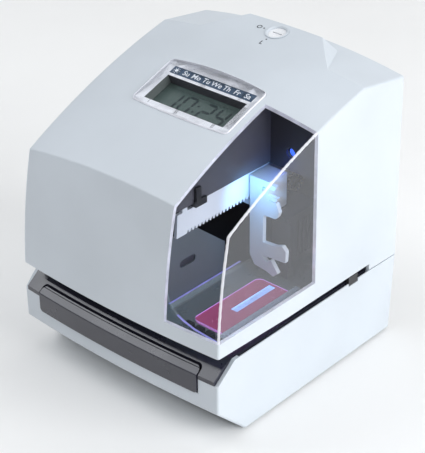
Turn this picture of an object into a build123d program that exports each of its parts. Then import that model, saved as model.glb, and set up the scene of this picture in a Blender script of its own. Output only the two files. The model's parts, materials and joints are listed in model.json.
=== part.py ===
"""Electronic punch time clock: a desktop card and document stamp.

Millimetres, +Z up, +X to the right seen from the front, -Y to the front.  The shapes are
drawn with Y = 0 at the crease above the front face and are moved, when they are written, so
that the origin is the centre of the footprint on the table.
"""

from build123d import *
import math
import os

# ---------------------------------------------------------------- driving dimensions
HALF_WIDTH = 77.5          # half of the housing's width at the base
SIDE_DRAFT = 0.0096        # the sides lean in by this much per millimetre of height
REAR_Y = 152.4             # rear wall
FRONT_BOW = 3.2            # the front bows forward by this much at the middle
BOW_RADIUS = (HALF_WIDTH**2 + FRONT_BOW**2) / (2 * FRONT_BOW)
BAR_FACE_Y = -11.2         # front face of the press bar, at the sides of the housing
CENTRE_Y = (REAR_Y + BAR_FACE_Y - FRONT_BOW) / 2

WALL = 2.2                 # housing walls
EDGE_RADIUS = 1.5          # easing of the housing's outer edges
SHEET = 1.6                # frame sheet metal
GAP = 0.3                  # play between pieces on different bodies

# the sloping top is part of a sphere, the front leans back on a large arc
DOME_RADIUS = 430.0
DOME_CENTRE = (0.0, 207.8, -235.8)
RIDGE_Y = 114.2            # behind this line the shoulders fall towards the rear
SHOULDER_FALL = 0.139      # fall per millimetre behind the ridge
FACE_ARC_RADIUS = 388.0
FACE_ARC_Y = 378.0
FACE_ARC_Z = 45.6

# joint line between the cover and the base
RIM_FRONT = (-9.6, 60.6)
RIM_SIDE = (45.0, 58.7)
RIM_STEP = (124.8, 54.8)   # behind this point the cover's sides reach down to the base
RIM_REAR = (152.4, 54.0)

# base profile
BASE_BOTTOM_Z = 1.5
PLATE_TOP_Z = 2.7          # upper face of the steel plate that closes the bottom
BASE_FACE_Y = -10.3
CHIN_Z = 23.9              # the front face ends here and the chin slopes back
CHIN_FOOT_Y = 13.0
BASE_FACE_TOP_Z = 42.6

# card throat and lip
THROAT_Z = 54.0
LIP_FACE_Y = -10.6
LIP_FACE_TOP_Z = 45.4
LIP_CREASE = (-3.8, 50.6)
THROAT_EDGE_Y = 3.8
THROAT_LEFT_X = -64.0
THROAT_REAR_Y = 128.0
THROAT_LUG_Y = (106.0, 114.5)   # lug on the deck that stands in the gap at the right
CLOSED_DECK_Z = 59.0
DECK_THICK = 2.2
DECK_UNDER = THROAT_Z - DECK_THICK
LIP_SLOPE = (LIP_CREASE[1] - LIP_FACE_TOP_Z) / (LIP_CREASE[0] - LIP_FACE_Y)

# press bar
BAR_HALF = 63.2
BAR_BOTTOM_Z = 33.2
BAR_TRAVEL = 1.1
BAR_REAR_Y = -6.5
BAR_ROD_X = 45.0
BAR_ROD_Z = 39.0
BAR_ROD_R = 2.0
BAR_CORNER_R = 2.8
BAR_EDGE_R = 1.0

# window in the front right corner
WINDOW_X = 39.1
WINDOW_BOTTOM_Z = 69.9
WINDOW_REAR_Y = 73.4
PANE = 2.2

# dark liner behind the window
LINER_X = 36.2
LINER_BOTTOM_Z = 132.0
LINER_REAR_Y = 80.0
LINER_WALL = 1.5

# display; V runs up the slope and W out along the normal, from the display plane's origin
DISPLAY_X = -1.2
DISPLAY_Y = 61.2
DISPLAY_Z = 168.9
DISPLAY_TILT = 18.5
LENS_SIZE = (72.8, 37.1)   # clear cover, without the bulge of its upper and lower edges
LENS_V = 1.1
LENS_BULGE = 2.2
LENS_CORNER = 3.2
LENS_PROUD = 0.9           # the clear cover stands this much above the dome
MASK_W = -2.8              # upper face of the light mask under the clear cover
MASK_THICK = 1.8
LCD_SIZE = (59.9, 21.4)    # opening in the mask
LCD_V = -2.5
LCD_W = -9.3               # upper face of the display's glass
LCD_THICK = 2.5
BOARD_THICK = 1.6
CARRIER_W = -15.6
STRIP_SIZE = (62.0, 5.9)
STRIP_V = 13.3

# key lock
LOCK_X = 3.0
LOCK_Y = 126.5
LOCK_R = 5.5
LOCK_SLEEVE_R = 6.4
LOCK_COLLAR_R = 7.1
LOCK_SUNK = 0.8            # the lock's face lies this deep in its collar
LOCK_LENGTH = 18.0
CAM_REACH = 14.0

# rack, pinion and carriage
TOOTH_MODULE = 0.9
PINION_TEETH = 14
PINION_Y = 107.0
RACK_X = 34.0
RACK_THICK = 2.0
RACK_ADDENDUM = 0.8 * TOOTH_MODULE
RACK_TOOTH_TIP_Z = 113.5
RACK_TOP_Z = 130.2
RACK_NOSE_TOP_Z = 127.6    # the front end of the rack plate is lower
RACK_NOSE_Y = 28.5
RACK_Y = (4.5, 130.0)
CLIP_X = (38.1, 39.5)      # clip that reaches over the front end of the rack
CLIP_Y = (15.5, 24.5)
PITCH_RADIUS = TOOTH_MODULE * PINION_TEETH / 2
PINION_Z = RACK_TOOTH_TIP_Z + RACK_ADDENDUM - PITCH_RADIUS
ROD_R = 3.0
ROD_X = (0.0, 22.0)
ROD_Z = 119.0
CARRIAGE_Y = (66.0, 96.0)
REAR_FRAME_Y = 130.0
ROD_BAR_Y = (8.0, 11.0)

# card guide above the throat
GUIDE_Z = 61.2
GUIDE_TOP_Z = 62.7
PRINT_SLOT_X = 53.5
PRINT_SLOT_Y = (30.5, 64.0)
CASSETTE_X = (-38.0, 25.8)

# places of small pieces
LED_X = 52.5
LED_Z = 142.0
KNOB_X = -26.0
KNOB_Y = 20.0
INLET_X = -44.0
INLET_Z = 34.0
INLET_REAR_Y = 150.4
FOOT_PLACES = [(-64, 20), (64, 20), (-64, 143), (64, 143)]
PLATE_SCREWS = [(-46, 27.5), (46, 27.5), (-46, 138.5), (46, 138.5)]
DESK_HOLE_X = 50.0
DESK_HOLE_Y = 60.0
DESK_HOLE_R = 2.25


# ---------------------------------------------------------------- helpers
def block(x_range, y_range, z_range):
    """A box given by its lowest and highest coordinates."""
    size = [high - low for low, high in (x_range, y_range, z_range)]
    middle = [(high + low) / 2 for low, high in (x_range, y_range, z_range)]
    return Pos(*middle) * Box(*size)


def round_bar(centre, radius, length, direction):
    """A cylinder that starts at centre and runs along direction."""
    plane = Plane(origin=centre, z_dir=direction)
    return extrude(plane * Circle(radius), length)


def side_profile(points, x_range):
    """A flat outline in Y and Z, pushed through x_range."""
    outline = Polyline(*[(x_range[0], y, z) for y, z in points], close=True)
    return extrude(make_face(outline), x_range[1] - x_range[0], dir=(1, 0, 0))


def front_profile(points, y_range):
    """A flat outline in X and Z, pushed through y_range."""
    outline = Polyline(*[(x, y_range[0], z) for x, z in points], close=True)
    return extrude(make_face(outline), y_range[1] - y_range[0], dir=(0, 1, 0))


def bowed(edges):
    """Turn a side outline about a distant upright axis, so that its front is bowed."""
    sweep = 20
    face = make_face(edges)
    axis = Axis((0, BOW_RADIUS, 0), (0, 0, 1))
    start = face.rotate(axis, -sweep / 2)
    return revolve(start, axis, revolution_arc=sweep)


def bowed_polygon(points):
    """A bowed solid whose outline is given where the housing's sides are."""
    return bowed(Polyline(*[(0, y - FRONT_BOW, z) for y, z in points], close=True))


def drafted_slab(inset):
    """The space between the two side walls, which lean in slightly."""
    low_z, high_z = -5.0, 230.0
    low = HALF_WIDTH - inset + SIDE_DRAFT * (RIM_REAR[1] - low_z)
    high = HALF_WIDTH - inset - SIDE_DRAFT * (high_z - RIM_REAR[1])
    outline = [(-low, low_z), (low, low_z), (high, high_z), (-high, high_z)]
    return front_profile(outline, (-40, REAR_Y - inset))


def face_y(z, inset=0.0):
    """Y of the leaning front face at a height, at the sides of the housing."""
    return FACE_ARC_Y - math.sqrt((FACE_ARC_RADIUS - inset)**2 - (z - FACE_ARC_Z)**2)


def dome_z(x, y, inset=0.0):
    """Height of the sloping top."""
    cx, cy, cz = DOME_CENTRE
    return cz + math.sqrt((DOME_RADIUS - inset)**2 - (x - cx)**2 - (y - cy)**2)


def cover_form(inset, bottom=None):
    """The cover's solid form, taken in by inset on every side.

    bottom gives a flat lower edge; without it the form ends at the joint line.
    """
    low_z = RIM_FRONT[1] if bottom is None else bottom
    high_z = 144.0
    sky = 215.0
    back = REAR_Y + 20

    def point(z):
        return (0, face_y(z, inset) - FRONT_BOW, z)

    face_arc = ThreePointArc(point(low_z), point((low_z + high_z) / 2), point(high_z))
    above = [point(high_z), (0, point(high_z)[1], sky), (0, back, sky)]
    if bottom is None:
        step_y = RIM_STEP[0] - FRONT_BOW
        rim = [(0, back, RIM_REAR[1] - 0.6), (0, step_y, RIM_STEP[1]), (0, step_y, RIM_SIDE[1]),
               (0, RIM_SIDE[0], RIM_SIDE[1]), point(low_z)]
    else:
        rim = [(0, back, bottom), point(low_z)]
    form = bowed([face_arc, Polyline(*above, *rim)]) & drafted_slab(inset)
    form = form & (Pos(*DOME_CENTRE) * Sphere(DOME_RADIUS - inset))
    return form - (behind_ridge(inset) - plateau(inset))


def rounded_cover():
    """The cover's outer form with its edges eased, except the rim and the rise at the lock."""
    form = cover_form(0)

    def is_eased(edge):
        centre = edge.center()
        on_rise = abs(centre.X) < 70 and 100 < centre.Y < 150
        return centre.Z > 62 and not on_rise

    return fillet([edge for edge in form.edges() if is_eased(edge)], EDGE_RADIUS)


def behind_ridge(inset):
    """What is cut away above the falling shoulders."""
    radius = math.sqrt((DOME_RADIUS - inset)**2 - (RIDGE_Y - DOME_CENTRE[1])**2)
    half, depth = 100.0, 60.0
    arc_z = DOME_CENTRE[2] + math.sqrt(radius**2 - half**2)
    left = (-half, RIDGE_Y, arc_z)
    right = (half, RIDGE_Y, arc_z)
    arc = ThreePointArc(left, (0, RIDGE_Y, DOME_CENTRE[2] + radius), right)
    sky = Polyline(right, (half, RIDGE_Y, 260), (-half, RIDGE_Y, 260), left)
    face = make_face([arc, sky])
    fall = Vector(0, 1, -SHOULDER_FALL).normalized()
    return extrude(face, depth, dir=fall)


def plateau(inset):
    """The flat-topped rise around the key lock, which narrows towards the rear."""
    def outline(z, front, rear, rear_y):
        points = [(-front, RIDGE_Y - 20), (front, RIDGE_Y - 20), (front, RIDGE_Y - 3),
                  (rear, rear_y), (-rear, rear_y), (-front, RIDGE_Y - 3)]
        path = Polyline(*[(LOCK_X / 2 + x, y, z) for x, y in points], close=True)
        return make_face(path)

    return loft([outline(170, 63.4 - inset, 40.1 - inset, 148.8 - inset),
                 outline(192, 37.4 - inset, 24.0 - inset, 132.7 - inset)])


def window_box(play):
    """The corner that the window fills, made smaller by play."""
    return block((WINDOW_X + play, 90), (-40, WINDOW_REAR_Y - play), (WINDOW_BOTTOM_Z + play, 220))


def display_plane(offset=0.0):
    """The plane of the display bezel's front, moved along its normal by offset."""
    tilt = math.radians(DISPLAY_TILT)
    normal = Vector(0, -math.sin(tilt), math.cos(tilt))
    origin = Vector(0, DISPLAY_Y, DISPLAY_Z) + normal * offset
    return Plane(origin=origin, x_dir=(1, 0, 0), z_dir=normal)


def display_slab(size, v_centre, w_range, x_centre=DISPLAY_X):
    """A flat rectangle parallel to the display, w measured along the display's normal."""
    shape = display_plane(w_range[0]) * Pos(x_centre, v_centre) * Rectangle(*size)
    return extrude(shape, w_range[1] - w_range[0], dir=display_plane().z_dir)


def lens_slab(grow, w_range):
    """A flat piece with the clear cover's outline, larger by grow on every side."""
    half = LENS_SIZE[0] / 2 + grow
    high = LENS_SIZE[1] / 2 + grow
    lower = ThreePointArc((-half, -high), (0, -high - LENS_BULGE), (half, -high))
    upper = ThreePointArc((half, high), (0, high + LENS_BULGE), (-half, high))
    sides = [Line((half, -high), (half, high)), Line((-half, high), (-half, -high))]
    outline = make_face([lower, sides[0], upper, sides[1]])
    outline = fillet(outline.vertices(), LENS_CORNER)
    shape = display_plane(w_range[0]) * Pos(DISPLAY_X, LENS_V) * outline
    return extrude(shape, w_range[1] - w_range[0], dir=display_plane().z_dir)


def lock_plane(offset=0.0):
    """The plane square to the lock's axis, moved out along it by offset."""
    normal = Vector(0, LOCK_Y - DOME_CENTRE[1], dome_z(LOCK_X, LOCK_Y) - DOME_CENTRE[2]).normalized()
    origin = Vector(LOCK_X, LOCK_Y, dome_z(LOCK_X, LOCK_Y)) + normal * offset
    return Plane(origin=origin, x_dir=(1, 0, 0), z_dir=normal)


def lock_disc(radius, w_range):
    """A disc or tube blank on the lock's axis."""
    return extrude(lock_plane(w_range[0]) * Circle(radius), w_range[1] - w_range[0],
                   dir=lock_plane().z_dir)


# ---------------------------------------------------------------- upper cover
def upper_cover():
    shell = rounded_cover() - cover_form(WALL, bottom=30)
    shell = shell - window_box(0)
    shell = shell - lens_slab(0.1, (-14, 20))
    return shell - lock_disc(LOCK_SLEEVE_R + 0.1, (-12, 12))


def window_pane():
    return (rounded_cover() - cover_form(PANE, bottom=30)) & window_box(0.06)


def chamber_liner():
    inside = cover_form(WALL + 0.2, bottom=30)
    left = block((LINER_X, LINER_X + LINER_WALL), (-30, LINER_REAR_Y + LINER_WALL),
                 (LINER_BOTTOM_Z, 220))
    rear = block((LINER_X, 90), (LINER_REAR_Y, LINER_REAR_Y + LINER_WALL),
                 (LINER_BOTTOM_Z - 1, 220))
    lamp_hole = round_bar((LED_X, LINER_REAR_Y - 3, LED_Z), 3.2, 8, (0, 1, 0))
    return (inside & (left + rear)) - lamp_hole


def lcd_bezel():
    """Light mask under the clear cover, with a deep well down to the display's glass."""
    under = MASK_W - MASK_THICK
    plate = lens_slab(0, (under, MASK_W))
    skirt = lens_slab(0, (under - 2.4, under)) - lens_slab(-1.6, (under - 3, under + 1))
    flange = lens_slab(2.0, (under - 2.4, under - 1.3)) - lens_slab(-1.6, (under - 3, under + 1))
    flange = flange & block((-90, LINER_X - GAP), (0, 130), (100, 220))
    well = display_slab((LCD_SIZE[0] + 2.6, LCD_SIZE[1] + 2.6), LCD_V, (LCD_W + 0.3, under))
    strip_bed = display_slab((STRIP_SIZE[0] + 0.1, STRIP_SIZE[1] + 0.1), STRIP_V, (MASK_W - 0.3, MASK_W + 1))
    opening = display_slab(LCD_SIZE, LCD_V, (LCD_W - 1, MASK_W + 1))
    return plate + skirt + flange + well - opening - strip_bed


def lcd_lens():
    """Clear cover whose upper face follows the dome."""
    lens = lens_slab(0, (MASK_W, 6)) & (Pos(*DOME_CENTRE) * Sphere(DOME_RADIUS + LENS_PROUD))
    rim = lens.faces().filter_by(GeomType.SPHERE)[0].edges()
    return fillet(rim, 0.7)


def weekday_strip():
    return display_slab(STRIP_SIZE, STRIP_V, (MASK_W - 0.3, MASK_W))


def lock_collar():
    ring = lock_disc(LOCK_COLLAR_R, (0.1, 0.4)) + lock_disc(LOCK_SLEEVE_R, (-5.4, 0.1))
    ring = ring - lock_disc(LOCK_R + 0.06, (-8, 3))
    mouth = [edge for edge in ring.edges().filter_by(GeomType.CIRCLE)
             if abs(edge.radius - LOCK_R - 0.06) < 0.01]
    return chamfer(sorted(mouth, key=lambda edge: edge.center().Z)[-1:], 0.7)


def lock_nut():
    nut = extrude(lock_plane(-5.0) * RegularPolygon(9.0, 6), 2.5, dir=lock_plane().z_dir)
    return nut - lock_disc(LOCK_SLEEVE_R + 0.05, (-8, 0))


# ---------------------------------------------------------------- key lock
def lock_cylinder():
    barrel = lock_disc(LOCK_R, (-LOCK_LENGTH, -LOCK_SUNK))
    slot = extrude(lock_plane(-2.6) * Rectangle(7.0, 0.9), 4, dir=lock_plane().z_dir)
    return barrel - slot


def lock_cam():
    thick = 1.6
    hub = lock_disc(5.5, (-LOCK_LENGTH - thick, -LOCK_LENGTH))
    tongue = lock_plane(-LOCK_LENGTH - thick) * Pos(CAM_REACH / 2, 0) * Rectangle(CAM_REACH, 7.0)
    return hub + extrude(tongue, thick, dir=lock_plane().z_dir)


def lock_catch():
    """Sheet hook on the rear frame that the cam turns under."""
    x_range = (LOCK_X - 8, LOCK_X + 8)
    cam_top = lock_plane(-LOCK_LENGTH).origin.Z
    lip_z = cam_top + CAM_REACH * 0.19 + 1.3
    points = [(REAR_FRAME_Y + SHEET, 132), (REAR_FRAME_Y + SHEET, 152), (144.4, 152), (144.4, lip_z),
              (139.6, lip_z), (139.6, lip_z + SHEET), (146, lip_z + SHEET), (146, 150.4),
              (REAR_FRAME_Y + 2 * SHEET, 150.4), (REAR_FRAME_Y + 2 * SHEET, 132)]
    return side_profile(points, x_range)


# ---------------------------------------------------------------- base
def base_housing():
    outer = bowed_polygon([(BASE_FACE_Y, 70), (BASE_FACE_Y, CHIN_Z), (CHIN_FOOT_Y, BASE_BOTTOM_Z),
                           (REAR_Y + 20, BASE_BOTTOM_Z), (REAR_Y + 20, 70)])
    outer = outer & side_profile([(-40, 0), (149.6, 0), (REAR_Y, RIM_REAR[1]), (REAR_Y, 72),
                                  (-40, 72)], (-HALF_WIDTH, HALF_WIDTH))
    outer = fillet([edge for edge in outer.edges() if edge.center().Z < 65], EDGE_RADIUS)
    floor_z = BASE_BOTTOM_Z + WALL
    inner = bowed_polygon([(BASE_FACE_Y + WALL, 80), (BASE_FACE_Y + WALL, CHIN_Z + 0.9),
                           (CHIN_FOOT_Y + 0.9, floor_z), (REAR_Y + 20, floor_z), (REAR_Y + 20, 80)])
    inner = inner & block((-HALF_WIDTH + WALL, HALF_WIDTH - WALL), (-40, 147), (0, 90))
    shell = outer - inner
    shell = shell - block((-HALF_WIDTH + WALL, HALF_WIDTH - WALL), (-40, -6), (BASE_FACE_TOP_Z, 90))
    shell = shell - wall_top_cut(-HALF_WIDTH + 5, HALF_WIDTH + 5, closed=False)
    shell = shell - wall_top_cut(-HALF_WIDTH - 5, -HALF_WIDTH + 5, closed=True)
    shell = shell - throat_edge_relief()
    shell = shell - bar_opening()
    shell = shell - bottom_opening()
    shell = shell - block((INLET_X - 10.2, INLET_X + 10.2), (140, 160), (INLET_Z - 7.2, INLET_Z + 7.2))
    shell = shell - block((INLET_X - 12.2, INLET_X + 12.2), (INLET_REAR_Y, 160), (INLET_Z - 9.2, INLET_Z + 9.2))
    for x, y in FOOT_PLACES:
        shell = shell - round_bar((x, y, -1), 2.6, 8, (0, 0, 1))
    return shell


def wall_top_cut(x_low, x_high, closed):
    """What is cut away above the base's walls; the closed side reaches up to the cover."""
    line = [(-40, BASE_FACE_TOP_Z), (LIP_FACE_Y + 0.3, BASE_FACE_TOP_Z)]
    if closed:
        line += [(LIP_CREASE[0], 49.6), (8.0, RIM_FRONT[1] - 1.2), (RIM_SIDE[0], RIM_SIDE[1] - 0.5),
                 (RIM_STEP[0] - 0.8, RIM_SIDE[1] - 0.5), (RIM_STEP[0] - 0.8, RIM_STEP[1] - 0.5)]
    else:
        line += [(THROAT_EDGE_Y, THROAT_Z - 0.2), (RIM_STEP[0], THROAT_Z)]
    line += [(REAR_Y + 10, RIM_REAR[1] - 0.75)]
    return side_profile(line + [(REAR_Y + 10, 100), (-40, 100)], (x_low, x_high))


def throat_edge_relief():
    """Slope on the inner edge of the right wall beside the throat, and the notch for the lug."""
    inner_x = HALF_WIDTH - WALL
    slope = front_profile([(inner_x - 0.1, THROAT_Z + 1), (HALF_WIDTH - 0.6, THROAT_Z + 1),
                           (HALF_WIDTH - 0.6, THROAT_Z - 0.2), (inner_x - 0.1, THROAT_Z - 2.2)],
                          (THROAT_EDGE_Y + 4, RIM_STEP[0]))
    low, high = THROAT_LUG_Y
    return slope + block((inner_x - 0.1, HALF_WIDTH + 1), (low - 0.3, high + 0.3), (THROAT_Z - 2.1, 60))


def bar_opening():
    """Recess in the base's front wall that the press bar fills."""
    return block((-BAR_HALF - 0.5, BAR_HALF + 0.5), (-30, BASE_FACE_Y + WALL + 4), (BAR_BOTTOM_Z - 0.3, 60))


def bottom_opening():
    """Service opening in the floor, with a rebate for its plate."""
    opening = block((-55, 55), (31, 135), (0, 6))
    rebate = block((-62, 62), (24, 142), (0, PLATE_TOP_Z + 0.1))
    return opening + rebate


def bottom_plate():
    plate = block((-61.8, 61.8), (24.2, 141.8), (BASE_BOTTOM_Z, PLATE_TOP_Z))
    for x in (-DESK_HOLE_X, DESK_HOLE_X):
        plate = plate - round_bar((x, DESK_HOLE_Y, 0), DESK_HOLE_R, 8, (0, 0, 1))
    for x, y in PLATE_SCREWS:
        plate = plate - round_bar((x, y, 0), 1.7, 8, (0, 0, 1))
    return plate


def bottom_screws():
    screws = []
    for x, y in PLATE_SCREWS:
        head = round_bar((x, y, BASE_BOTTOM_Z - 0.9), 2.8, 0.9, (0, 0, 1))
        shank = round_bar((x, y, BASE_BOTTOM_Z), 1.5, 1.25, (0, 0, 1))
        cross = block((x - 1.6, x + 1.6), (y - 0.3, y + 0.3), (0, BASE_BOTTOM_Z - 0.4))
        screws.append(head + shank - cross)
    return Compound(screws)


def rubber_feet():
    feet = []
    for x, y in FOOT_PLACES:
        pad = round_bar((x, y, 0), 6.5, BASE_BOTTOM_Z, (0, 0, 1))
        plug = round_bar((x, y, BASE_BOTTOM_Z), 2.5, WALL + 0.8, (0, 0, 1))
        feet.append(pad + plug)
    return Compound(feet)


# ---------------------------------------------------------------- deck and throat
def deck_plate():
    """The plate that cards slide on, with the sloping lip and the closed left and rear."""
    thick = DECK_THICK
    lip_foot = BASE_FACE_TOP_Z + 0.2
    throat = bowed_polygon([(LIP_FACE_Y, lip_foot), (LIP_FACE_Y, LIP_FACE_TOP_Z), LIP_CREASE,
                            (THROAT_EDGE_Y, THROAT_Z), (THROAT_REAR_Y + 6, THROAT_Z),
                            (THROAT_REAR_Y + 6, THROAT_Z - thick), (THROAT_EDGE_Y + 1, THROAT_Z - thick),
                            (LIP_CREASE[0] + 0.9, LIP_CREASE[1] - thick - 0.4),
                            (LIP_FACE_Y + thick, LIP_FACE_TOP_Z - 1.4), (LIP_FACE_Y + thick, lip_foot)])
    throat = throat & block((THROAT_LEFT_X, 75.1), (-40, THROAT_REAR_Y), (0, 90))
    top_y = LIP_FACE_Y + (CLOSED_DECK_Z - LIP_FACE_TOP_Z) / LIP_SLOPE
    closed = bowed_polygon([(LIP_FACE_Y, lip_foot), (LIP_FACE_Y, LIP_FACE_TOP_Z), (top_y, CLOSED_DECK_Z),
                            (170, CLOSED_DECK_Z), (170, THROAT_Z - thick),
                            (THROAT_EDGE_Y + 1, THROAT_Z - thick),
                            (LIP_FACE_Y + thick, LIP_FACE_TOP_Z - 1.4), (LIP_FACE_Y + thick, lip_foot)])
    left = closed & block((-74.6, THROAT_LEFT_X), (-40, 146), (0, 90))
    rear = closed & block((THROAT_LEFT_X, 74.4), (THROAT_REAR_Y, 146), (0, 90))
    under_left = block((-72.6, THROAT_LEFT_X - 2), (14, 144), (40, CLOSED_DECK_Z - thick))
    under_rear = block((-72.6, 72.4), (THROAT_REAR_Y + 2, 144), (40, CLOSED_DECK_Z - thick))
    lug = block((HALF_WIDTH - 3.3, HALF_WIDTH - 0.3), THROAT_LUG_Y, (THROAT_Z - 1.8, THROAT_Z + 3.9))
    deck = throat + left + rear - under_left - under_rear + lug
    return deck - bar_notch() - platen_opening(0)


def bar_notch():
    """Notch in the lip around the press bar, with rounded rear corners."""
    half = BAR_HALF + 0.7
    rear = BAR_REAR_Y + BAR_TRAVEL + 0.4
    blank = bowed_polygon([(-20, 20), (rear, 20), (rear, 90), (-20, 90)])
    blank = blank & block((-half, half), (-40, 0), (20, 90))
    corners = [edge for edge in blank.edges().filter_by(Axis.Z) if edge.center().Y > rear - 6]
    return fillet(corners, BAR_CORNER_R)


def platen_opening(play):
    return block((48 + play, 59 - play), (27 + play, 68 - play), (48, 60))


def platen():
    """Rubber pad that the card is printed against."""
    return platen_opening(0.2) & block((40, 70), (20, 80), (DECK_UNDER, THROAT_Z - 0.05))


def platen_bracket():
    """Sheet channel that backs the platen under the deck."""
    return block((44, 63), (23, 72), (DECK_UNDER - SHEET, DECK_UNDER))


# ---------------------------------------------------------------- press bar
def press_bar():
    top = LIP_FACE_TOP_Z + 0.4

    def lip_line(y):
        return top + LIP_SLOPE * (y - LIP_FACE_Y)

    body = bowed_polygon([(BAR_FACE_Y, BAR_BOTTOM_Z), (BAR_FACE_Y, lip_line(BAR_FACE_Y)),
                          (BAR_REAR_Y, lip_line(BAR_REAR_Y)), (BAR_REAR_Y, lip_line(BAR_REAR_Y) - 2.4),
                          (BAR_FACE_Y + 2.4, lip_line(BAR_FACE_Y) - 1.2), (BAR_FACE_Y + 2.4, BAR_BOTTOM_Z)])
    body = body & block((-BAR_HALF, BAR_HALF), (-40, 10), (0, 90))
    body = fillet(bar_rear_corners(body), BAR_CORNER_R)
    body = fillet(bar_front_edge(body), BAR_EDGE_R)
    groove_y = BAR_REAR_Y - 0.75
    groove = bowed_polygon([(groove_y - 0.35, lip_line(groove_y) - 0.45), (groove_y, lip_line(groove_y) - 0.45),
                            (groove_y, 60), (groove_y - 0.35, 60)])
    body = body - (groove & block((-BAR_HALF + 0.9, BAR_HALF - 0.9), (-40, 10), (0, 90)))
    lower = [edge for edge in body.edges().filter_by(Axis.Y, tolerance=5)
             if abs(edge.center().X) > BAR_HALF - 1 and edge.center().Z < BAR_BOTTOM_Z + 1]
    body = fillet(lower, 2.2)
    for x in (-BAR_ROD_X, BAR_ROD_X):
        bow = FRONT_BOW * (1 - (x / HALF_WIDTH)**2)
        start = BAR_FACE_Y + 2.0 - bow
        body = body + round_bar((x, start, BAR_ROD_Z), BAR_ROD_R, 14 - start, (0, 1, 0))
        body = body + round_bar((x, start, BAR_ROD_Z), 3.4, -7.0 - start, (0, 1, 0))
    rib = block((-3, 3), (BAR_FACE_Y + 1.6 - FRONT_BOW, -4.2), (35.5, 40.5))
    return body + rib


def bar_rear_corners(body):
    return [edge for edge in body.edges().filter_by(Axis.Z) if edge.center().Y > BAR_REAR_Y - 3]


def bar_front_edge(body):
    """The long edge between the bar's front face and its sloping top."""
    return [edge for edge in body.edges() if edge.length > BAR_HALF
            and edge.center().Y < BAR_FACE_Y and edge.center().Z > LIP_FACE_TOP_Z - 0.8]


def switch_plunger():
    return round_bar((0, -4.2, 38), 1.3, 5.2, (0, 1, 0))


def bar_switch():
    case = block((-10, 10), (-2.6, 3.8), (33.5, 42.5))
    bore = round_bar((0, -4, 38), 1.36, 6.7, (0, 1, 0))
    lugs = [block((x - 0.4, x + 0.4), (-1.2, 1.6), (29.5, 33.5)) for x in (-7, 0, 7)]
    return (case - bore).fuse(*lugs)


def switch_bracket():
    """Post under the deck that holds the switch."""
    post = block((-8, 8), (3.8, 5.4), (33.5, DECK_UNDER))
    return post + block((-8, 8), (3.8, 14.0), (DECK_UNDER - SHEET, DECK_UNDER))


def bar_guides():
    guides = []
    for x in (-BAR_ROD_X, BAR_ROD_X):
        body = block((x - 7, x + 7), (5.2, 12.0), (33, DECK_UNDER))
        guides.append(body - round_bar((x, 0, BAR_ROD_Z), BAR_ROD_R + 0.07, 20, (0, 1, 0)))
    return Compound(guides)


def bar_spring(x):
    tube = round_bar((x, -6.95, BAR_ROD_Z), 3.3, 12.15, (0, 1, 0))
    return tube - round_bar((x, -8, BAR_ROD_Z), 2.5, 16, (0, 1, 0))


# ---------------------------------------------------------------- frame
def bridge_plate():
    """Steel shelf over the throat that carries the ribbon cassette."""
    plate = block((-64.4, 24.0), (-3.0, REAR_FRAME_Y), (GUIDE_Z, GUIDE_Z + SHEET))
    return plate - round_bar((-54, 45, 50), 2.5, 20, (0, 0, 1))


def left_side_plate():
    plate = side_profile([(8, 60.6), (8, 112), (60, 138), (118, 150), (REAR_FRAME_Y, 150),
                          (REAR_FRAME_Y, 60.6)], (-66.0, -64.4))
    foot = block((-73.5, -64.4), (8, REAR_FRAME_Y), (CLOSED_DECK_Z, CLOSED_DECK_Z + SHEET))
    return plate + foot


def rear_frame():
    y_range = (REAR_FRAME_Y, REAR_FRAME_Y + SHEET)
    outline = [(-66, CLOSED_DECK_Z), (70, CLOSED_DECK_Z), (70, 100), (60, 146), (46, 146), (40, 132),
               (14, 132), (14, 150), (-66, 150)]
    plate = front_profile(outline, y_range)
    foot = block((-66, 70), (REAR_FRAME_Y, 145.5), (CLOSED_DECK_Z, CLOSED_DECK_Z + SHEET))
    plate = plate + foot
    for x in ROD_X:
        plate = plate - round_bar((x, REAR_FRAME_Y - 5, ROD_Z), ROD_R + 0.02, 12, (0, 1, 0))
    return plate


def rod_bar():
    """Front support for the two guide rods, on a leg beside the cassette."""
    top = block((-46, 32), ROD_BAR_Y, (111.5, 127.5))
    leg = block((-46, -41), ROD_BAR_Y, (GUIDE_Z + SHEET, 127.5))
    foot = block((-50, -41), (8, 22), (GUIDE_Z + SHEET, GUIDE_Z + 2 * SHEET))
    tab = block((30, RACK_X - RACK_THICK / 2), (8, 18), (118, 126))
    ear = block((RACK_X - RACK_THICK / 2 - 1.6, RACK_X - RACK_THICK / 2), CLIP_Y, (118, 131.6))
    clip = block((RACK_X - RACK_THICK / 2 - 1.6, CLIP_X[1]), CLIP_Y, (129.8, 131.6))
    clip = clip + block(CLIP_X, CLIP_Y, (129.8, 133.8)) + block(CLIP_X, (16, 20), (129.8, 141.5))
    bar = top + leg + foot + tab + ear + clip
    for x in ROD_X:
        bar = bar - round_bar((x, 0, ROD_Z), ROD_R + 0.02, 20, (0, 1, 0))
    return bar


def guide_rod(x):
    return round_bar((x, ROD_BAR_Y[0], ROD_Z), ROD_R, REAR_FRAME_Y + SHEET - ROD_BAR_Y[0], (0, 1, 0))


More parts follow.
